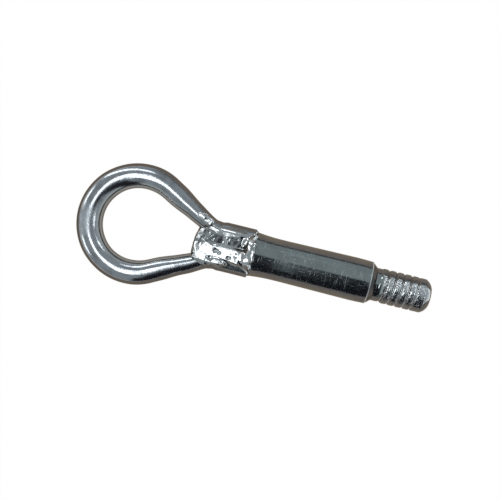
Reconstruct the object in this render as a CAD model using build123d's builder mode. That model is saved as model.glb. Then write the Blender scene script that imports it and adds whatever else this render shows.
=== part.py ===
from build123d import *
import os
from math import cos, radians, sin, tan

# Tow eye: a round bar bent into an eye, welded to a shank with a coarse left-hand thread.
# Millimetres. X runs along the shank axis toward the thread tip, the eye lies in the XY plane, Z is up.
# The origin is on the axis, where the thread begins.

# Thread, all measured from the origin toward the tip
thread_major = 18.0
thread_pitch = 4.0
thread_depth = 1.1
thread_mouth = 1.8
thread_root = 0.7
thread_length = 26.4
ridge_start = 0.2
ridge_stop = 0.8
ridge_spare = 0.3
run_out_length = 1.4
nose_length = 6.2
nose_spare = 0.4
tip_face_radius = 5.0
cut_spare = 1.0

# Plain neck between the thread and the seat chamfer of the shank
plain_length = 3.2
plain_radius = 8.6
seat_length = 2.8
seat_radius = 11.0
seat_ease = 8.0

# Shank: widest at the flared end where the eye is welded on, narrowest a little way from it
shank_length = 62.4
front_radius = 11.28
waist_radius = 10.84
flare_radius = 11.65
flare_length = 16.0
shank_rim = 0.6

# Eye bar: crown arc, two straight legs, two bends back into a neck of parallel bar ends
eye_center = -129.3
crown_radius = 25.2
leg_angle = 28.0
bend_radius = 16.0
neck_offset = 6.55
bar_thickness = 13.0
crown_width = 13.2
squeeze_width = 9.7
neck_width = 12.8
bar_end_chamfer = 1.2

# Weld metal: crotch end, flat run over the bar ends, rise to the rim of the shank
weld_reach = 7.72
weld_lap = 1.4
crotch_half_width = 8.2
crotch_half_height = 5.0
run_half_width = 8.4
run_half_height = 7.2
rim_half_width = 10.4
rim_half_height = 12.1

# Places along the axis
crest_radius = thread_major / 2
plain_end = -plain_length
seat_end = plain_end - seat_length
shank_end = seat_end - shank_length
flare_start = shank_end + flare_length
tip_end = thread_length
nose_start = tip_end - nose_length

# Places along the bar, worked out from the two arcs and the slope of the legs
leg_slope = tan(radians(leg_angle))
leg_top_x = eye_center + crown_radius * sin(radians(leg_angle))
leg_top_y = crown_radius * cos(radians(leg_angle))
bend_rise = bend_radius * (1 - cos(radians(leg_angle)))
leg_foot_y = neck_offset + bend_rise
leg_foot_x = leg_top_x + (leg_top_y - leg_foot_y) / leg_slope
bend_start = leg_foot_x + bend_radius * sin(radians(leg_angle))
weld_start = leg_foot_x - weld_reach

# Straight runs of one half of the bar, from the shank outward
neck_run = Line((shank_end, neck_offset), (bend_start, neck_offset))
leg_run = Line((leg_foot_x, leg_foot_y), (leg_top_x, leg_top_y))
bend_axis = Axis((bend_start, neck_offset + bend_radius, 0), (0, 0, 1))
crown_axis = Axis((eye_center, 0, 0), (0, 0, 1))

# Sections of the bar: at its end, where the bend pinches it on both sides, and at the crown
end_plane = Plane(origin=neck_run @ 0, x_dir=(0, 0, 1), z_dir=neck_run % 0)
bend_plane = Plane(origin=neck_run @ 1, x_dir=(0, 0, 1), z_dir=neck_run % 1)
foot_plane = Plane(origin=leg_run @ 0, x_dir=(0, 0, 1), z_dir=leg_run % 0)
crown_plane = Plane(origin=leg_run @ 1, x_dir=(0, 0, 1), z_dir=leg_run % 1)

with BuildPart() as eye_bar:
    # neck, narrower toward the bend
    with BuildSketch(end_plane):
        Ellipse(bar_thickness / 2, neck_width / 2)
    with BuildSketch(bend_plane):
        Ellipse(bar_thickness / 2, squeeze_width / 2)
    loft(ruled=True)
    chamfer(eye_bar.faces().sort_by(Axis.X)[-1].edges(), bar_end_chamfer)
    # bend out to the leg
    with BuildSketch(bend_plane):
        Ellipse(bar_thickness / 2, squeeze_width / 2)
    revolve(axis=bend_axis, revolution_arc=-leg_angle)
    # leg, wider toward the crown
    with BuildSketch(foot_plane):
        Ellipse(bar_thickness / 2, squeeze_width / 2)
    with BuildSketch(crown_plane):
        Ellipse(bar_thickness / 2, crown_width / 2)
    loft(ruled=True)
    # crown as far as the middle of the eye
    with BuildSketch(crown_plane):
        Ellipse(bar_thickness / 2, crown_width / 2)
    revolve(axis=crown_axis, revolution_arc=90 + leg_angle)
    # the other half
    mirror(about=Plane.XZ)

# Ridge of the thread: a left-hand helix, a little too deep at the foot and too tall at the crest
root_radius = crest_radius - thread_depth
ridge_length = thread_length - ridge_start - ridge_stop
nose_radius = crest_radius + nose_spare
flank_slope = (thread_mouth - thread_root) / 2 / thread_depth
crest_half = (thread_pitch - thread_mouth) / 2 - flank_slope * ridge_spare
foot_half = (thread_pitch - thread_root) / 2 + flank_slope * ridge_spare
with BuildPart() as ridge:
    with BuildLine() as ridge_path:
        turn = Helix(
            pitch=thread_pitch,
            height=ridge_length,
            radius=root_radius,
            center=(ridge_start, 0, 0),
            direction=(1, 0, 0),
            lefthand=True,
        )
    with BuildSketch(Plane(origin=turn @ 0, x_dir=(0, 0, 1), z_dir=turn % 0)):
        with BuildLine():
            Polyline(
                (-ridge_spare, -foot_half),
                (thread_depth + ridge_spare, -crest_half),
                (thread_depth + ridge_spare, crest_half),
                (-ridge_spare, foot_half),
                close=True,
            )
        make_face()
    sweep(is_frenet=True)

with BuildPart() as threaded_shank:
    # flared end, tapering shank, seat chamfer, plain neck, run-out cone and core of the thread
    with BuildSketch(Plane.XZ):
        with BuildLine():
            side = Polyline(
                (flare_start, waist_radius),
                (seat_end - seat_ease, front_radius),
                (seat_end, seat_radius),
                (plain_end, plain_radius),
                (0, plain_radius),
                (run_out_length, root_radius),
                (tip_end, root_radius),
                (tip_end, 0),
                (shank_end, 0),
                (shank_end, flare_radius - shank_rim),
                (shank_end + shank_rim, flare_radius),
            )
            Spline(
                side @ 1,
                (flare_start - flare_length * 0.45, waist_radius + (flare_radius - waist_radius) * 0.12),
                side @ 0,
            )
        make_face()
    revolve(axis=Axis.X)
    add(ridge.part, rotation=(180, 0, 0))
    # the crest is turned down to its diameter
    with BuildSketch(Plane.XZ):
        with BuildLine():
            Polyline(
                (-plain_length / 2, crest_radius),
                (tip_end + cut_spare, crest_radius),
                (tip_end + cut_spare, crest_radius + cut_spare),
                (-plain_length / 2, crest_radius + cut_spare),
                close=True,
            )
        make_face()
    revolve(axis=Axis.X, mode=Mode.SUBTRACT)
    # the tip is turned to a blunt nose
    with BuildSketch(Plane.XZ):
        with BuildLine():
            shoulder = Line((nose_start - cut_spare, nose_radius), (nose_start, nose_radius))
            nose = TangentArc(shoulder @ 1, (tip_end, tip_face_radius), tangent=shoulder % 1)
            Polyline(
                nose @ 1,
                (tip_end + cut_spare, tip_face_radius),
                (tip_end + cut_spare, nose_radius + cut_spare),
                (nose_start - cut_spare, nose_radius + cut_spare),
                shoulder @ 0,
            )
        make_face()
    revolve(axis=Axis.X, mode=Mode.SUBTRACT)

# Weld metal as rounded sections along the axis: place, half width, half height, corner round
weld_stations = [
    (weld_start, crotch_half_width - 0.8, crotch_half_height - 1.2, 2.6),
    (weld_start + 0.9, crotch_half_width, crotch_half_height, 3.0),
    (weld_start + 5.0, run_half_width, run_half_height - 0.2, 3.6),
    (shank_end - 16.0, run_half_width, run_half_height, 4.0),
    (shank_end - 8.0, run_half_width + 0.4, run_half_height + 0.9, 5.2),
    (shank_end - 3.5, run_half_width + 1.0, rim_half_height - 2.6, 7.5),
    (shank_end - 0.8, rim_half_width - 0.2, rim_half_height - 0.4, rim_half_width - 0.5),
    (shank_end + weld_lap, rim_half_width, rim_half_height, rim_half_width - 0.1),
]

with BuildPart() as weld_bead:
    for place, half_width, half_height, corner in weld_stations:
        with BuildSketch(Plane.YZ.offset(place)):
            RectangleRounded(2 * half_width, 2 * half_height, corner)
    loft(ruled=True)
    add(eye_bar.part, mode=Mode.SUBTRACT)
    add(threaded_shank.part, mode=Mode.SUBTRACT)

eye_bar.part.label = "eye_bar"
threaded_shank.part.label = "threaded_shank"
weld_bead.part.label = "weld_bead"

os.makedirs("parts", exist_ok=True)
export_step(eye_bar.part, "parts/eye_bar.step")
export_step(threaded_shank.part, "parts/threaded_shank.step")
export_step(weld_bead.part, "parts/weld_bead.step")
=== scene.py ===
import math

import bmesh
import bpy
from mathutils import Matrix, Vector, noise
from mathutils.bvhtree import BVHTree


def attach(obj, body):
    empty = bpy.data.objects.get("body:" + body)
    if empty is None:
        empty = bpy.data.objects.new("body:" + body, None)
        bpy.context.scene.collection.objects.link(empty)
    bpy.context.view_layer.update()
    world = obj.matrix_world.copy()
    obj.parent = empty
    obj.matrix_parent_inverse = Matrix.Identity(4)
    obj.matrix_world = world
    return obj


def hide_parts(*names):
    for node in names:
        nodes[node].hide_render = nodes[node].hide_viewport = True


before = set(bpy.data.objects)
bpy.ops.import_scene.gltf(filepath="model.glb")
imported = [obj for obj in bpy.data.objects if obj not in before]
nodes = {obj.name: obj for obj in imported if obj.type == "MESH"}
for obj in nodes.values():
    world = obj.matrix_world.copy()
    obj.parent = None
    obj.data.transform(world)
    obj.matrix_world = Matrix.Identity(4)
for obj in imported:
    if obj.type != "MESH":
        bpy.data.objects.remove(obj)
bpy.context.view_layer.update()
scene = bpy.context.scene

# Sizes of the tow eye are in millimetres and are turned into metres as the meshes are made. X runs along
# the shank axis toward the thread tip, the eye lies in the XY plane and Z is up. The origin is on the
# axis, where the thread begins.
MM = 0.001

# Eye bar: a crown arc, two straight legs, two bends back into a neck of parallel bar ends
EYE_CENTER = -129.3
CROWN_RADIUS = 25.1
LEG_ANGLE = math.radians(28.0)
BEND_RADIUS = 16.0
NECK_OFFSET = 6.55
BAR_THICKNESS = 13.0
BAR_END_ROUND = 0.4
BAR_SIDES = 64
BAR_STEPS = 232
BAR_WAVE = 0.04
BAR_WAVE_START = -70.0
# the eye leans a little to one side of the shank axis
EYE_LEAN = math.radians(0.95)
LEAN_PIVOT = Vector((-84.0, 0, 0))
LEAN_STRETCH = (-94.0, -78.0)
# where the legs leave the weld, the lower one lies lower and the upper one is slimmer
WELD_MOUTH = -97.0
MOUTH_LENGTH = 8.0
LOWER_LEG_DROP = 0.7
UPPER_LEG_SLIM = 0.45

# Shank: plain neck, seat chamfer, taper to a waist, flared end at the weld
SHANK_END = -68.4
PLAIN_END = -3.2
PLAIN_RADIUS = 8.6
TAPER_START = -14.0
TAPER_LENGTH = 38.4
TAPER_STEPS = 24
FRONT_RADIUS = 11.28
WAIST_RADIUS = 10.84

# Left-hand thread, with a run-out cone at the plain neck
CREST = 9.0
ROOT = 7.9
PITCH = 4.0
FIRST_CREST = 1.4
RUN_OUT = 1.4
THREAD_TURNS = 9
TURN_STEPS = 96
CREST_HALF = 1.4
CREST_ROUND = 0.12
GROOVE_FLANK = (1.25, 1.85)
GROOVE_DEPTH = 0.34
RIDGE_GROWTH = (0.2, 0.8)
# the grooves grow shallow toward the nose, which is turned to an arc
GROOVE_FADE = (17.5, 21.5)
FADED_RADIUS = 8.9
NOSE_START = 20.2
NOSE_OFFSET = 2.832
NOSE_ROUND = 6.568
TIP_END = 26.4

# Weld: a thin skin on the bar ends, and how it all is made one body
SKIN_THICKNESS = 0.18
SKIN_SINK = 0.5
SKIN_SINKS_ALONG = (-96.0, -88.0)
SKIN_SINKS_ACROSS = (8.5, 10.7)
SKIN_END = -97.0
SKIN_HALF_WIDTH = 10.8
WELD_VOXEL = 0.3
WELD_SMOOTHING = 22
# the weld swells where it shows, which is where a gap parts it from the bar and the shank
WELD_SWELL = 0.12
SHOWN_GAP = (0.12, 0.62)
CROTCH_STRETCH = (-95.0, -90.0)
CROTCH_SLANT = 0.17
# the front is a flat run in two halves, each with a height where it begins and a slope toward the shank
RUN_START = -98.0
RUN_STOP = -72.0
UPPER_RUN_HIGH = 7.5
LOWER_RUN_HIGH = 7.2
UPPER_RUN_SLOPE = -0.033
LOWER_RUN_SLOPE = 0.062
UPPER_RUN_WIDE = 8.6
LOWER_RUN_WIDE = 10.6
RUN_HALVES = (-0.6, 1.0)
RUN_TO_RIM = (-74.4, -71.2)
RUN_SIDE = 1.6
RUN_FLATNESS = 0.97
RUN_LOWEST = 4.9
RUN_FACING = 0.6
# the upper half rises toward the eye, and a bank lies along the upper bar end
LIP_START = -89.0
LIP_LENGTH = 7.0
LIP_SLOPE = 0.07
BANK_START = -92.0
BANK_LENGTH = 13.0
BANK_SLOPE = 0.055
BANK_TO_RIM = (-76.0, -71.5)
BANK_INNER = (5.0, 8.0)
BANK_OUTER = (8.8, 11.0)
BANK_LOWEST = 3.5
PIT_LOWEST = 5.0

# Stretches along the axis over which the finish changes
THREAD_BEGINS = (0.0, 1.2)
GROOVES_END = (18.5, 21.5)
NOSE_FRONT = (21.5, 24.5)
SEAT_BEGINS = (-6.0, -5.7)
SEAT_ENDS = (-3.4, -3.0)
SEAT_EDGE = -6.1
CROTCH_ENDS = (-93.0, -86.5)
GRAIN_ENDS = (-156.0, -150.0)


def clamp(value, low, high):
    return min(high, max(low, value))


def ramp(value, low, high):
    """0 below low, 1 above high, straight between."""
    return clamp((value - low) / (high - low), 0.0, 1.0)


def ease(value, low, high):
    """0 below low, 1 above high, smooth between."""
    t = ramp(value, low, high)
    return t * t * (3 - 2 * t)


def blend(a, b, t):
    return a + (b - a) * t


class Sock:
    """A shader socket that takes part in plain expressions."""

    def __init__(self, graph, out):
        self.graph = graph
        self.out = out

    def output(self, name):
        """Another output of the same node."""
        return Sock(self.graph, self.out.node.outputs[name])

    def math(self, operation, *others):
        return self.graph.node("Math", {"operation": operation}, dict(enumerate((self, *others))))

    def __add__(self, other):
        return self.math("ADD", other)

    def __sub__(self, other):
        return self.math("SUBTRACT", other)

    def __rsub__(self, other):
        return self.graph.node("Math", {"operation": "SUBTRACT"}, {0: other, 1: self})

    def __mul__(self, other):
        return self.math("MULTIPLY", other)

    def __neg__(self):
        return self * -1.0

    def __abs__(self):
        return self.math("ABSOLUTE")

    __radd__ = __add__
    __rmul__ = __mul__

    def between(self, low, high):
        """0 below low, 1 above high, smooth between."""
        settings = {"interpolation_type": "SMOOTHSTEP"}
        return self.graph.node("MapRange", settings, {"Value": self, "From Min": low, "From Max": high})

    def near(self, middle, full, none):
        """1 within full of the middle, 0 beyond none, smooth between."""
        return 1.0 - abs(self - middle).between(full, none)


class Graph:
    """A node tree with one method that makes any node."""

    def __init__(self, tree):
        self.tree = tree
        tree.nodes.clear()

    def node(self, kind, settings=None, sockets=None, out=0):
        made = self.tree.nodes.new("ShaderNode" + kind)
        for key, value in (settings or {}).items():
            setattr(made, key, value)
        for key, value in (sockets or {}).items():
            if isinstance(value, Sock):
                self.tree.links.new(value.out, made.inputs[key])
            else:
                made.inputs[key].default_value = value
        return Sock(self, made.outputs[out]) if made.outputs else None

    def mix(self, factor, a, b):
        """Colour a where factor is 0, colour b where it is 1."""
        return self.node("Mix", {"data_type": "RGBA"}, {0: factor, 6: a, 7: b}, out=2)

    def noise(self, place, scale, detail, rough):
        sockets = {"Vector": place, "Scale": scale, "Detail": detail, "Roughness": rough}
        return self.node("TexNoise", {}, sockets)

    def finish(self, shader):
        self.node("OutputMaterial", {}, {"Surface": shader})


def new_material(name):
    made = bpy.data.materials.new(name)
    made.use_nodes = True
    return made, Graph(made.node_tree)


def tone(r, g, b):
    return (r, g, b, 1.0)


# Tones that the plate takes in places, most of them painted light, shade or reflection
# painted reflection of the ground, and of the ground's shade, on the inside of the eye
INNER_GROUND_REFLECTION = tone(0.175, 0.162, 0.144)
INNER_SHADED_GROUND_REFLECTION = tone(0.24, 0.242, 0.238)
# painted lighter plate inside the eye and painted darker plate outside it
INNER_PAINTED_LIGHT = tone(0.78, 0.81, 0.82)
OUTER_PAINTED_SHADE = tone(0.24, 0.235, 0.235)
THREAD_PLATE = tone(0.74, 0.79, 0.82)
# painted shade in the thread grooves and on the seat
PAINTED_SHADE_IN_CUTS = tone(0.085, 0.08, 0.075)
# painted highlight on the groove edges and the seat edge
PAINTED_HIGHLIGHT_ON_EDGES = tone(0.72, 0.74, 0.73)
# brownish tint of the metal's reflections at grazing angles, standing in for a brown ground: painted
# reflection
GROUND_REFLECTION_TINT = tone(0.5, 0.46, 0.42)


def zinc(name, light, dark, ground_reflection, shaded_ground_reflection, edge, rough, scratch, mottle, dull=0.0):
    """Bright zinc plate: cloudy metal with fine scratches, with a painted brownish reflection of the
    ground on its steeper faces.

    light and dark are the plate's own tones. The next two tones are a painted reflection of the ground
    on the steeper
    faces: the first where they stand most steeply, the second a painted shade of the ground where they
    face further up.
    edge says how far up a surface has to face to be free of them. dull takes gloss off the weld in the
    crotch of the eye.
    """
    made, g = new_material(name)
    place = g.node("TexCoord", out="Object")
    # place on the part in millimetres, and how far its surface faces up
    parted = g.node("SeparateXYZ", {}, {"Vector": place})
    x, y, z = (parted.output(axis) * (1.0 / MM) for axis in "XYZ")
    facing = g.node("SeparateXYZ", {}, {"Vector": g.node("NewGeometry", out="Normal")}, out="Z")
    # 1 on the inside of the eye, -1 on its outside, 0 off the bar
    inward = g.node("Attribute", {"attribute_name": "inner"}, out=2)

    # patterns: clouds, specks, dents, and scratches along the shank and across it
    cloud = g.noise(place, 160.0, 4.0, 0.6)
    speck = g.noise(place, 900.0, 3.0, 0.6)
    dents = g.noise(place, 1100.0, 2.0, 0.5)
    drawn = g.node("Mapping", {}, {"Vector": place, "Scale": (0.12, 1.0, 1.0)})
    lines = g.noise(drawn, 2600.0, 2.0, 0.6)
    crossing = {"Vector": place, "Rotation": (0.0, 0.0, 0.9), "Scale": (1.0, 0.14, 0.14)}
    ticks = g.noise(g.node("Mapping", {}, crossing), 1700.0, 1.0, 0.5)
    marks = lines.between(0.58, 0.72) + ticks.between(0.64, 0.72)

    # places: the thread, the front of its nose, the seat, the crotch, the grainy crown of the eye
    thread = x.between(*THREAD_BEGINS)
    grooved = thread * (1.0 - x.between(*GROOVES_END))
    nose_front = x.between(*NOSE_FRONT) * y.near(1.2, 1.8, 4.5)
    seat = x.between(*SEAT_BEGINS) * (1.0 - x.between(*SEAT_ENDS))
    crotch = 1.0 - x.between(*CROTCH_ENDS)
    grain = (1.0 - x.between(*GRAIN_ENDS)) * y.near(-4.0, 5.0, 11.0)

    # way round the thread: whole numbers are crests, halves are grooves
    winding = x * (1.0 / PITCH) + z.math("ARCTAN2", y) * (0.5 / math.pi) - FIRST_CREST / PITCH
    turn = winding.math("FRACT")
    # painted highlight along the groove edges on the -y side of the thread, and along the seat edge
    groove_highlight = turn.near(0.40, 0.035, 0.085) * grooved * (1.0 - y.between(-5.0, 0.0))
    # painted shade in the grooves, heavier toward +y, and on the seat
    groove = turn.near(0.55, 0.04, 0.09) * grooved * (y.between(1.0, 5.0) * 0.5 + 0.2)
    painted_highlight = groove_highlight + x.near(SEAT_EDGE, 0.12, 0.32)
    painted_shade = groove + seat * 0.75

    # tones: the plate as seen from above, with a painted lighter inside and a painted darker outside of
    # the eye, then a painted reflection of the ground on the steeper faces, painted shade in cuts and
    # painted highlights on edges
    plate = g.mix(cloud.between(0.42, 0.66), light, dark)
    plate = g.mix(thread * 0.8, plate, THREAD_PLATE)
    # painted darker plate on the outside of the eye and painted lighter plate on its inside
    plate = g.mix((-inward).between(0.56, 0.74) * 0.75, plate, OUTER_PAINTED_SHADE)
    plate = g.mix(inward.between(0.5, 0.7) * 0.8, plate, INNER_PAINTED_LIGHT)
    inside = inward.between(0.1, 0.5)
    ground_reflection = g.mix(inside, ground_reflection, INNER_GROUND_REFLECTION)
    shaded_ground_reflection = g.mix(inside, shaded_ground_reflection, INNER_SHADED_GROUND_REFLECTION)
    # painted reflection of the ground on the steeper faces: lighter where they stand most steeply, a
    # painted shade of the ground where they face further up
    sides = g.mix((facing + cloud * 0.3 - 0.15).between(0.2, 0.66), ground_reflection, shaded_ground_reflection)
    ground_reflection_mask = (thread * 0.06 + edge - nose_front * 0.24 - facing).between(0.0, 0.06) * 0.97
    colour = g.mix(ground_reflection_mask, plate, sides)
    # painted shade in the grooves and on the seat
    colour = g.mix(painted_shade, colour, PAINTED_SHADE_IN_CUTS)
    # painted highlights on the groove edges and the seat edge
    colour = g.mix(painted_highlight * 0.85, colour, PAINTED_HIGHLIGHT_ON_EDGES)

    roughness = (cloud * 0.10 + marks * scratch + rough) * (1.0 - thread * 0.6) + grain * 0.26
    roughness = roughness + crotch * speck.between(0.36, 0.52) * dull + painted_highlight * 0.4
    height = cloud * mottle + speck * (grain * 0.14 + mottle * 0.35)
    height = height + lines * (scratch * 0.03) + dents * thread * 0.24
    bump = g.node("Bump", {}, {"Strength": 1.0, "Distance": 0.001, "Height": height})
    metal = {
        "Base Color": colour,
        "Metallic": 1.0,
        "Roughness": roughness,
        # painted brown reflection of the ground at grazing angles
        "Specular Tint": GROUND_REFLECTION_TINT,
        "Normal": bump,
    }
    g.finish(g.node("BsdfPrincipled", {}, metal))
    return made


# in each plate the third and fourth tones are a painted reflection of the ground and of its shade
bar_zinc = zinc(
    "plate_on_bar",
    light=tone(0.455, 0.50, 0.54),
    dark=tone(0.33, 0.36, 0.39),
    ground_reflection=tone(0.15, 0.128, 0.106),
    shaded_ground_reflection=tone(0.105, 0.094, 0.086),
    edge=0.72,
    rough=0.12,
    scratch=0.05,
    mottle=0.06,
)
shank_zinc = zinc(
    "plate_on_shank",
    light=tone(0.355, 0.41, 0.425),
    dark=tone(0.305, 0.35, 0.365),
    ground_reflection=tone(0.20, 0.175, 0.138),
    shaded_ground_reflection=tone(0.105, 0.097, 0.092),
    edge=0.755,
    rough=0.10,
    scratch=0.24,
    mottle=0.03,
)
weld_zinc = zinc(
    "plate_on_weld",
    light=tone(0.585, 0.625, 0.645),
    dark=tone(0.43, 0.465, 0.485),
    ground_reflection=tone(0.19, 0.168, 0.135),
    shaded_ground_reflection=tone(0.13, 0.118, 0.105),
    edge=0.735,
    rough=0.08,
    scratch=0.03,
    mottle=0.03,
    dull=0.12,
)


def add_object(bm, name, material):
    """Turns a bmesh into an object of the scene."""
    mesh = bpy.data.meshes.new(name)
    bm.to_mesh(mesh)
    bm.free()
    mesh.materials.append(material)
    made = bpy.data.objects.new(name, mesh)
    scene.collection.objects.link(made)
    return made


def finish_piece(bm, node, material, sharp):
    """Turns a bmesh into a smooth-shaded piece that stands for a CAD node."""
    bmesh.ops.remove_doubles(bm, verts=bm.verts, dist=2e-6)
    bmesh.ops.dissolve_degenerate(bm, edges=bm.edges, dist=1e-7)
    bmesh.ops.recalc_face_normals(bm, faces=bm.faces)
    piece = add_object(bm, node + "_look", material)
    piece.data.shade_smooth()
    piece.data.set_sharp_from_angle(angle=math.radians(sharp))
    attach(piece, "root")
    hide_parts(node)
    return piece


# Eye bar: a ring of the bar's section carried along its centreline
leg_top = Vector(
    (EYE_CENTER + CROWN_RADIUS * math.sin(LEG_ANGLE), CROWN_RADIUS * math.cos(LEG_ANGLE), 0)
)
foot_y = NECK_OFFSET + BEND_RADIUS * (1 - math.cos(LEG_ANGLE))
leg_foot = Vector((leg_top.x + (leg_top.y - foot_y) / math.tan(LEG_ANGLE), foot_y, 0))
bend_x = leg_foot.x + BEND_RADIUS * math.sin(LEG_ANGLE)
neck_run = SHANK_END - bend_x
bend_run = BEND_RADIUS * LEG_ANGLE
leg_run = (leg_top - leg_foot).length
crown_run = CROWN_RADIUS * (math.pi / 2 + LEG_ANGLE)
half_run = neck_run + bend_run + leg_run + crown_run

# width of the bar against the way along one half of it
BAR_WIDTHS = [
    (0.0, 12.5),
    (neck_run, 12.5),
    (neck_run + bend_run * 0.55, 11.1),
    (neck_run + bend_run + leg_run * 0.05, 9.7),
    (neck_run + bend_run + leg_run * 0.4, 10.6),
    (neck_run + bend_run + leg_run * 0.85, 12.2),
    (half_run - crown_run * 0.8, 12.85),
    (half_run - crown_run * 0.54, 13.05),
    (half_run - crown_run * 0.27, 13.6),
    (half_run, 13.75),
]
# ways along the bar that round off its end
BAR_END_WAYS = [0.0, 0.1, 0.25, BAR_END_ROUND, 1.2]


def bar_width(way):
    for (a, low), (b, high) in zip(BAR_WIDTHS, BAR_WIDTHS[1:]):
        if way <= b:
            return blend(low, high, ease(way, a, b))
    return BAR_WIDTHS[-1][1]


def bar_point(way):
    """Place on the centreline and direction along it, on the half with positive y."""
    if way < neck_run:
        return Vector((SHANK_END - way, NECK_OFFSET, 0)), Vector((-1, 0, 0))
    way -= neck_run
    if way < bend_run:
        a = way / BEND_RADIUS
        place = (bend_x - BEND_RADIUS * math.sin(a), NECK_OFFSET + BEND_RADIUS * (1 - math.cos(a)), 0)
        return Vector(place), Vector((-math.cos(a), math.sin(a), 0))
    way -= bend_run
    if way < leg_run:
        along = Vector((-math.cos(LEG_ANGLE), math.sin(LEG_ANGLE), 0))
        return leg_foot.lerp(leg_top, way / leg_run), along
    a = math.pi / 2 - LEG_ANGLE + (way - leg_run) / CROWN_RADIUS
    place = (EYE_CENTER + CROWN_RADIUS * math.cos(a), CROWN_RADIUS * math.sin(a), 0)
    return Vector(place), Vector((-math.sin(a), math.cos(a), 0))


def bar_frame(way):
    """Carries the unit circle to the bar's section at that way along the whole bar."""
    upper = way <= half_run
    near = way if upper else 2 * half_run - way
    place, along = bar_point(near)
    if not upper:
        place.y = -place.y
        along = Vector((-along.x, along.y, 0))
    lean = Matrix.Rotation(-EYE_LEAN * (1 - ease(place.x, *LEAN_STRETCH)), 3, "Z")
    place = LEAN_PIVOT + lean @ (place - LEAN_PIVOT)
    along = lean @ along
    across = Vector((-along.y, along.x, 0))
    mouth = math.exp(-(((place.x - WELD_MOUTH) / MOUTH_LENGTH) ** 2))
    if not upper:
        place.y -= LOWER_LEG_DROP * mouth
    from_round = max(0.0, BAR_END_ROUND - near)
    rounding = BAR_END_ROUND - math.sqrt(max(0.0, BAR_END_ROUND**2 - from_round**2))
    slim = UPPER_LEG_SLIM * mouth if upper else 0.0
    across = across * (bar_width(near) / 2 - rounding - slim)
    up = Vector((0, 0, BAR_THICKNESS / 2 - rounding))
    made = Matrix.Identity(4)
    for column, vector in enumerate((across, up, along, place)):
        for row in range(3):
            made[row][column] = vector[row] * MM
    return made


def make_bar():
    bm = bmesh.new()
    long_run = 2 * half_run - 2 * BAR_END_WAYS[-1]
    ways = BAR_END_WAYS + [BAR_END_WAYS[-1] + long_run * k / BAR_STEPS for k in range(1, BAR_STEPS)]
    ways += [2 * half_run - way for way in reversed(BAR_END_WAYS)]
    inner = bm.verts.layers.float.new("inner")
    ring = bmesh.ops.create_circle(bm, cap_ends=True, segments=BAR_SIDES, radius=1.0)["verts"]
    for v in ring:
        v[inner] = v.co.x
    now = bar_frame(ways[0])
    bmesh.ops.transform(bm, matrix=now, verts=ring)
    edges = bm.edges[:]
    for way in ways[1:]:
        grown = bmesh.ops.extrude_edge_only(bm, edges=edges)["geom"]
        edges = [e for e in grown if isinstance(e, bmesh.types.BMEdge)]
        ring = [v for v in grown if isinstance(v, bmesh.types.BMVert)]
        then = bar_frame(way)
        bmesh.ops.transform(bm, matrix=then @ now.inverted(), verts=ring)
        now = then
    bmesh.ops.contextual_create(bm, geom=edges)
    # hardly seen waves in the surface of the bent bar
    for v in bm.verts:
        if v.co.x < BAR_WAVE_START * MM:
            v.co.z += noise.noise(v.co * 120.0) * BAR_WAVE * MM
    return finish_piece(bm, "eye_bar", bar_zinc, 40)


# Threaded shank: a left-hand screw of one pitch of the thread, and a turned body
HALF_PITCH = [-2.0, -1.9, -1.8, -1.7, -1.6, -1.5, -1.4, -1.3, -1.2, -0.95, -0.65, -0.3]

# outline of the body: place along the axis and radius
NECK = [(PLAIN_END, PLAIN_RADIUS), (-3.25, 8.66)]
SEAT = [(-5.8, 10.86), (-6.0, 11.0), (-6.3, 11.06), (-10.0, 11.19)]
TAPER = [
    (TAPER_START - TAPER_LENGTH * k / TAPER_STEPS, blend(FRONT_RADIUS, WAIST_RADIUS, k / TAPER_STEPS))
    for k in range(TAPER_STEPS + 1)
]
FLARE = [(-56.0, 10.86), (-59.6, 10.94), (-63.0, 11.17), (-65.6, 11.42), (-67.3, 11.6), (-67.75, 11.62)]
RIM = [(-68.1, 11.5), (-68.35, 11.25), (SHANK_END, 11.05), (SHANK_END, 0.0)]


def thread_radius(dx):
    """Radius of the thread at a distance along the axis from the middle of a crest."""
    groove = GROOVE_DEPTH * ease(abs(dx), *GROOVE_FLANK)
    return CREST - CREST_ROUND * (dx / CREST_HALF) ** 2 - groove


def nose_radius(x):
    """Radius of the turned nose, out of reach before it begins."""
    if x <= NOSE_START:
        return 2 * CREST
    return NOSE_OFFSET + math.sqrt(max(0.0, NOSE_ROUND**2 - (x - NOSE_START) ** 2))


def core_radius(x):
    """Radius of the body under the thread, with its run-out cone."""
    return clamp(PLAIN_RADIUS - x * (PLAIN_RADIUS - ROOT) / RUN_OUT, ROOT, PLAIN_RADIUS)


def add_chain(bm, points):
    """A row of edges through points given along the axis and away from it."""
    chain = [bm.verts.new((x * MM, radius * MM, 0)) for x, radius in points]
    return chain + [bm.edges.new(pair) for pair in zip(chain, chain[1:])]


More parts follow.
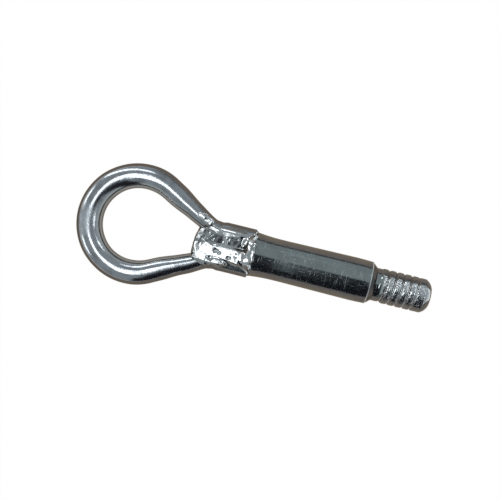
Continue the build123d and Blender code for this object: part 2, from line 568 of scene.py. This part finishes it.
def make_shank():
    bm = bmesh.new()
    offsets = HALF_PITCH + [0.0] + [-offset for offset in reversed(HALF_PITCH)]
    first = FIRST_CREST - 2 * PITCH
    bmesh.ops.spin(
        bm,
        geom=add_chain(bm, [(first + offset, thread_radius(offset)) for offset in offsets]),
        cent=(0, 0, 0),
        axis=(1, 0, 0),
        dvec=(PITCH * MM / TURN_STEPS, 0, 0),
        angle=-2 * math.pi * THREAD_TURNS,
        steps=TURN_STEPS * THREAD_TURNS,
    )
    for v in bm.verts:
        x = v.co.x / MM
        radius = math.hypot(v.co.y, v.co.z) / MM
        phi = math.atan2(v.co.z, v.co.y)
        crest = FIRST_CREST - PITCH * phi / (2 * math.pi)
        crest += PITCH * round((x - crest) / PITCH)
        # the ridge grows out of the core over its first part, and its grooves fade toward the nose
        core = core_radius(x)
        high = core + max(0.0, radius - core) * ramp(crest, *RIDGE_GROWTH)
        high = blend(high, FADED_RADIUS, ease(x, *GROOVE_FADE))
        if x <= PLAIN_END:
            high = PLAIN_RADIUS
        x = clamp(x, PLAIN_END, TIP_END)
        high = min(high, nose_radius(x))
        v.co = Vector((x, high * math.cos(phi), high * math.sin(phi))) * MM
    bmesh.ops.remove_doubles(bm, verts=bm.verts, dist=2e-6)
    bmesh.ops.spin(
        bm,
        geom=add_chain(bm, NECK + SEAT + TAPER + FLARE + RIM),
        cent=(0, 0, 0),
        axis=(1, 0, 0),
        dvec=(0, 0, 0),
        angle=2 * math.pi,
        steps=TURN_STEPS,
        use_merge=True,
    )
    bmesh.ops.remove_doubles(bm, verts=bm.verts, dist=2e-6)
    bmesh.ops.holes_fill(bm, edges=[e for e in bm.edges if e.is_boundary], sides=0)
    return finish_piece(bm, "threaded_shank", shank_zinc, 32)


# Weld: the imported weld, blobs of weld metal and a thin skin on the bar ends, made one by a remesh
# blobs: place of the middle, half sizes and turn about z
WELD_BLOBS = [
    # flecks on the upper leg
    ((-97.6, 12.3, 5.7), (4.2, 2.2, 1.25), -28),
    ((-93.5, 10.6, 6.1), (3.0, 2.4, 1.0), -20),
    # fill at the two sides of the crotch
    ((-96.4, 7.6, 2.4), (2.2, 1.8, 2.4), 0),
    ((-97.0, -7.6, 2.2), (1.8, 1.6, 2.2), 0),
    # runs over the lower bar end
    ((-92.0, -8.4, 5.5), (6.6, 3.4, 1.7), 3),
    ((-85.0, -7.8, 5.7), (6.0, 2.8, 1.5), -4),
    # beads round the rim of the shank
    ((-68.0, 8.6, 7.8), (1.3, 1.8, 1.2), 0),
    ((-67.7, 4.4, 10.6), (1.2, 1.9, 0.9), 0),
    ((-67.5, 0.9, 11.4), (1.1, 1.6, 0.8), 0),
    ((-67.4, -2.9, 11.1), (1.2, 1.9, 0.9), 0),
    ((-67.8, -7.2, 9.2), (1.2, 1.9, 1.1), 0),
    ((-68.3, -10.4, 4.6), (1.0, 1.6, 2.0), 0),
    ((-68.4, 10.8, 4.2), (1.0, 1.5, 2.0), 0),
]
# pits on the front: place along and across, depth, size
WELD_PITS = [
    (-73.1, 1.0, 0.9, 1.55),
    (-86.4, -2.7, 0.5, 0.8),
    (-84.7, -3.6, 0.45, 0.7),
    (-79.3, -5.0, 0.45, 0.9),
]
# planes that cut the skin out of the bar: a point on each and the side that goes
SKIN_CUTS = [
    ((SKIN_END, 0, 0), (-1, 0, 0)),
    ((0, SKIN_HALF_WIDTH, 0), (0, 1, 0)),
    ((0, -SKIN_HALF_WIDTH, 0), (0, -1, 0)),
]


def add_blobs(bm):
    for middle, sizes, angle in WELD_BLOBS:
        ball = bmesh.ops.create_icosphere(bm, subdivisions=3, radius=1.0)["verts"]
        shape = Matrix.Translation(Vector(middle) * MM) @ Matrix.Rotation(math.radians(angle), 4, "Z")
        shape = shape @ Matrix.Diagonal((*(Vector(sizes) * MM), 1.0))
        bmesh.ops.transform(bm, matrix=shape, verts=ball)


def add_skin(bm, bar):
    """A thin skin on the bar ends, which sinks into them toward the eye and the outer sides."""
    skin = bmesh.new()
    skin.from_mesh(bar.data)
    for corner, away in SKIN_CUTS:
        whole = skin.verts[:] + skin.edges[:] + skin.faces[:]
        corner = Vector(corner) * MM
        bmesh.ops.bisect_plane(skin, geom=whole, plane_co=corner, plane_no=away, clear_outer=True)
        bmesh.ops.holes_fill(skin, edges=[e for e in skin.edges if e.is_boundary], sides=0)
    skin.normal_update()
    for v in skin.verts:
        p = v.co / MM
        sunk = max(1 - ramp(p.x, *SKIN_SINKS_ALONG), ramp(abs(p.y), *SKIN_SINKS_ACROSS))
        v.co += v.normal * (SKIN_THICKNESS - SKIN_SINK * sunk) * MM
    mesh = bpy.data.meshes.new("weld_skin")
    skin.to_mesh(mesh)
    skin.free()
    bm.from_mesh(mesh)
    bpy.data.meshes.remove(mesh)


def made_one(bm):
    """The same bodies as one fine, smoothed body."""
    blank = add_object(bm, "weld_blank", weld_zinc)
    remesh = blank.modifiers.new("remesh", "REMESH")
    remesh.mode = "VOXEL"
    remesh.voxel_size = WELD_VOXEL * MM
    bpy.context.view_layer.update()
    fine = bpy.data.meshes.new_from_object(blank.evaluated_get(bpy.context.evaluated_depsgraph_get()))
    bpy.data.objects.remove(blank)
    bm = bmesh.new()
    bm.from_mesh(fine)
    bpy.data.meshes.remove(fine)
    bmesh.ops.recalc_face_normals(bm, faces=bm.faces)
    every_way = {"use_axis_x": True, "use_axis_y": True, "use_axis_z": True}
    for step in range(WELD_SMOOTHING):
        bmesh.ops.smooth_vert(bm, verts=bm.verts, factor=0.5, **every_way)
    bm.normal_update()
    return bm


def tree_of(piece):
    made = bmesh.new()
    made.from_mesh(piece.data)
    tree = BVHTree.FromBMesh(made)
    made.free()
    return tree


def ripple(p, often, high, shift=(0, 0, 0)):
    """Smooth ups and downs over the weld, at most about as high as given."""
    return noise.noise(p * often + Vector(shift)) * high


def weld_run(p):
    """Height of the flat run on the front of the weld, and how much of it a place takes."""
    lower = 1 - ramp(p.y, *RUN_HALVES)
    slope = blend(UPPER_RUN_SLOPE, LOWER_RUN_SLOPE, lower)
    high = blend(UPPER_RUN_HIGH, LOWER_RUN_HIGH, lower) + slope * (min(p.x, RUN_STOP) - RUN_START)
    high += (1.0 - lower) * LIP_SLOPE * clamp(LIP_START - p.x, 0.0, LIP_LENGTH)
    wide = UPPER_RUN_WIDE if p.y > 0 else LOWER_RUN_WIDE
    return high, (1 - ramp(p.x, *RUN_TO_RIM)) * (1 - ramp(abs(p.y), wide - RUN_SIDE, wide))


def weld_bank(p):
    """Height of the bank along the upper bar end."""
    high = BANK_SLOPE * clamp(p.x - BANK_START, 0.0, BANK_LENGTH) * (1 - ease(p.x, *BANK_TO_RIM))
    return high * ease(p.y, *BANK_INNER) * (1 - ease(p.y, *BANK_OUTER))


def weld_move(place, normal, gap):
    """How far a point on the weld moves, from its gap to the bar and the shank."""
    p = place / MM
    shown = ramp(gap / MM, *SHOWN_GAP)
    crotch = 1 - ramp(p.x, *CROTCH_STRETCH)
    lumps = ripple(p, 0.16, 0.16, (5, 2, 9)) + ripple(p, 0.42, 0.05)
    lumps += (ripple(p, 0.3, 0.3, (2, 8, 4)) + ripple(p, 0.6, 0.1)) * crotch
    pit = max(0.0, ripple(p, 0.9, 1.0, (31, 7, 3)) - 0.5) * 1.8
    if p.z > PIT_LOWEST:
        for x, y, deep, size in WELD_PITS:
            pit += deep * math.exp(-((p.x - x) ** 2 + (p.y - y) ** 2) / size**2)
    level = 0.0
    if p.z > RUN_LOWEST and normal.z > RUN_FACING:
        high, flat = weld_run(p)
        level = (high - p.z) * flat * RUN_FLATNESS
    slant = CROTCH_SLANT * max(0.0, p.y + 1.0) * crotch
    move = (normal * (lumps - pit + WELD_SWELL) + Vector((slant, 0, level))) * shown
    if p.z > BANK_LOWEST:
        move.z += weld_bank(p)
    return move * MM


def make_weld(bar, shank):
    bm = bmesh.new()
    bm.from_mesh(nodes["weld_bead"].data)
    bmesh.ops.remove_doubles(bm, verts=bm.verts, dist=5e-6)
    add_blobs(bm)
    add_skin(bm, bar)
    bm = made_one(bm)
    trees = (tree_of(bar), tree_of(shank))
    gaps = [min(tree.find_nearest(v.co)[3] for tree in trees) for v in bm.verts]
    moves = [weld_move(v.co, v.normal, gap) for v, gap in zip(bm.verts, gaps)]
    for v, move in zip(bm.verts, moves):
        v.co += move
    finish_piece(bm, "weld_bead", weld_zinc, 180)


bar = make_bar()
shank = make_shank()
make_weld(bar, shank)

# Floor: pale, touching the crown of the eye and the lap of the weld from below
CROWN_REST = (-155.0, -6.5)
WELD_REST = (-67.5, -12.27)
FLOOR_HALF = 3.0


def pale_floor():
    """White to the camera and in reflections, and a pale matt surface for all other light."""
    made, g = new_material("pale_floor")
    seen = g.node("LightPath", out="Is Camera Ray")
    mirrored = seen.output("Is Glossy Ray") + seen.output("Is Transmission Ray")
    matt = g.node("BsdfDiffuse", {}, {"Color": tone(0.86, 0.855, 0.85)})
    white = g.node("Emission", {}, {"Color": tone(1, 1, 1), "Strength": 1.0})
    clamped = {"operation": "MULTIPLY", "use_clamp": True}
    clean = g.node("Math", clamped, {0: seen + mirrored, 1: 0.995})
    g.finish(g.node("MixShader", {}, {0: clean, 1: matt, 2: white}))
    return made


floor_slope = (WELD_REST[1] - CROWN_REST[1]) / (WELD_REST[0] - CROWN_REST[0])
floor_high = CROWN_REST[1] - floor_slope * CROWN_REST[0]
bm = bmesh.new()
bmesh.ops.create_grid(bm, x_segments=2, y_segments=2, size=FLOOR_HALF)
bmesh.ops.rotate(bm, verts=bm.verts, matrix=Matrix.Rotation(-math.atan(floor_slope), 3, "Y"))
bmesh.ops.translate(bm, verts=bm.verts, vec=(0, 0, floor_high * MM))
add_object(bm, "floor", pale_floor())

# Camera straight above, turned so that the shank runs down to the right. From here on in metres.
ROLL = math.radians(13.885)
LOOK_AT = Vector((-0.0697, 0.00165, 0))
RIGHT = Vector((math.cos(ROLL), math.sin(ROLL), 0))
UP = Vector((-math.sin(ROLL), math.cos(ROLL), 0))
CAMERA_HIGH = 0.6
PICTURE_WIDE = 0.2593
lens = bpy.data.cameras.new("camera")
lens.sensor_width = 36.0
lens.lens = lens.sensor_width * CAMERA_HIGH / PICTURE_WIDE
camera = bpy.data.objects.new("camera", lens)
camera.location = LOOK_AT + Vector((0, 0, CAMERA_HIGH))
camera.rotation_euler = (0, 0, ROLL)
scene.collection.objects.link(camera)
scene.camera = camera


def at(right, up, high):
    """A place given from the middle of the picture."""
    return LOOK_AT + RIGHT * right + UP * up + Vector((0, 0, high))


CARD_LEVEL = 4.0
EYE_MIDDLE = at(-0.06, 0.02, 0.0)


def card(name, place, wide, tall, along=RIGHT):
    """A soft light card that faces the eye, its width running along a direction."""
    made = bpy.data.lights.new(name, "AREA")
    made.shape = "RECTANGLE"
    made.size = wide
    made.size_y = tall
    made.energy = CARD_LEVEL * math.pi * wide * tall
    lamp = bpy.data.objects.new(name, made)
    lamp.location = place
    facing = (EYE_MIDDLE - place).normalized()
    side = (along - facing * along.dot(facing)).normalized()
    lamp.rotation_euler = Matrix((side, side.cross(facing), -facing)).transposed().to_euler()
    scene.collection.objects.link(lamp)


card("top_card", at(-0.225, -0.01, 1.0), 0.19, 0.68)
card("back_strip", at(-0.56, 1.75, 0.90), 1.95, 0.30, RIGHT * -1.37 + UP * 1.4)
card("left_far", at(-1.14, 0.61, 0.31), 0.42, 0.20, RIGHT + UP * 1.8)
card("left_near", at(-1.20, -0.36, 0.42), 0.40, 0.20, RIGHT - UP * 3.3)
card("right_near", at(0.87, -0.04, 1.0), 0.26, 0.22)
card("right_far", at(0.95, 0.68, 1.0), 0.16, 0.46)


def matt_shade(name, colour):
    made, g = new_material(name)
    g.finish(g.node("BsdfDiffuse", {}, {"Color": colour}))
    return made


def board(name, material, corner, side, slant):
    """A flat board from one corner along two edges: the metal reflects it, the camera doesn't see it."""
    corner, side, slant = Vector(corner), Vector(side), Vector(slant)
    turn = Matrix((side, slant, side.cross(slant))).transposed().to_4x4()
    shape = Matrix.Translation(corner + (side + slant) / 2) @ turn
    bm = bmesh.new()
    bmesh.ops.create_grid(bm, x_segments=1, y_segments=1, size=0.5)
    bmesh.ops.transform(bm, matrix=shape, verts=bm.verts)
    made = add_object(bm, name, material)
    made.visible_camera = False


# Dark boards beside and above the part
dark = matt_shade("dark_board", tone(0.030, 0.028, 0.037))
slate = matt_shade("slate_board", tone(0.039, 0.041, 0.060))
board("near_high", dark, (-0.05, -0.38, 0.27), (0.26, 0, 0), (0, 0.22, 0.23))
board("near_low", dark, (-0.10, -0.65, -0.01), (0.31, 0, 0), (0, 0.27, 0.28))
board("far_board", dark, (-0.09, 0.9, -0.02), (0.5, 0, 0), (0, 0, 0.13))
board("over_board", slate, (-0.05, -0.36, 1.0), (0.38, 0, 0), (0, 0.40, 0))

room = bpy.data.worlds.new("room")
scene.world = room
room.use_nodes = True
g = Graph(room.node_tree)
grey = g.node("Background", {}, {"Color": tone(0.36, 0.385, 0.395), "Strength": 1.0})
g.node("OutputWorld", {}, {"Surface": grey})

scene.view_settings.view_transform = "Standard"
